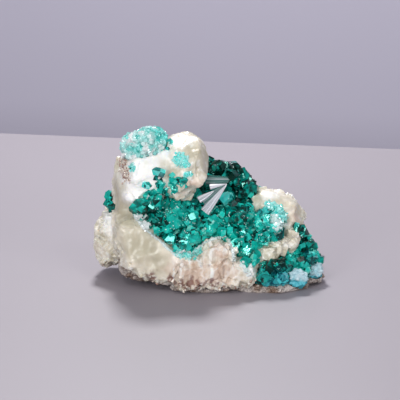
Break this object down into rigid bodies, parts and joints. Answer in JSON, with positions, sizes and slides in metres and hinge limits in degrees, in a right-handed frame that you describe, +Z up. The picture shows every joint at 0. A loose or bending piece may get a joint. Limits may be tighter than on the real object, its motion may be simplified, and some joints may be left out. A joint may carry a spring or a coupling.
{
  "type": "mineral specimen",
  "caption": "Broken cream calcite on a thin brown host rock, with crusts of short glassy green dioptase crystals and a turquoise druse on top; it stands on its flat underside.",
  "frame": {"origin": "on the surface that the specimen stands on, under the middle of its bounding box", "axes": "+X to the right of the display side, +Y away from the display side, +Z up"},
  "size_m": [0.0586, 0.0336, 0.0392],
  "materials": {
    "calcite_cream": "waxy cream, broken and cleaved",
    "iron_stained_rock": "dull, grainy, iron stained",
    "dioptase_green": "glassy crystal faces",
    "turquoise_druse": "fine sparkling crystals",
    "clear_calcite": "clear, finely striated",
    "pale_chrysocolla": "satin, botryoidal"
  },
  "bodies": {
    "root": {"calcite_matrix": "calcite_cream", "host_rock": "iron_stained_rock", "dioptase_crust": "dioptase_green", "dioptase_corner": "dioptase_green", "dioptase_side": "dioptase_green", "boulder_crystal_large": "dioptase_green", "boulder_crystal_top": "dioptase_green", "boulder_crystal_upper": "dioptase_green", "boulder_crystal_lower": "dioptase_green", "boulder_crystal_left": "dioptase_green", "druse_cap": "turquoise_druse", "calcite_spear": "clear_calcite", "chrysocolla_foot": "pale_chrysocolla", "chrysocolla_edge": "pale_chrysocolla"}
  },
  "joints": []
}
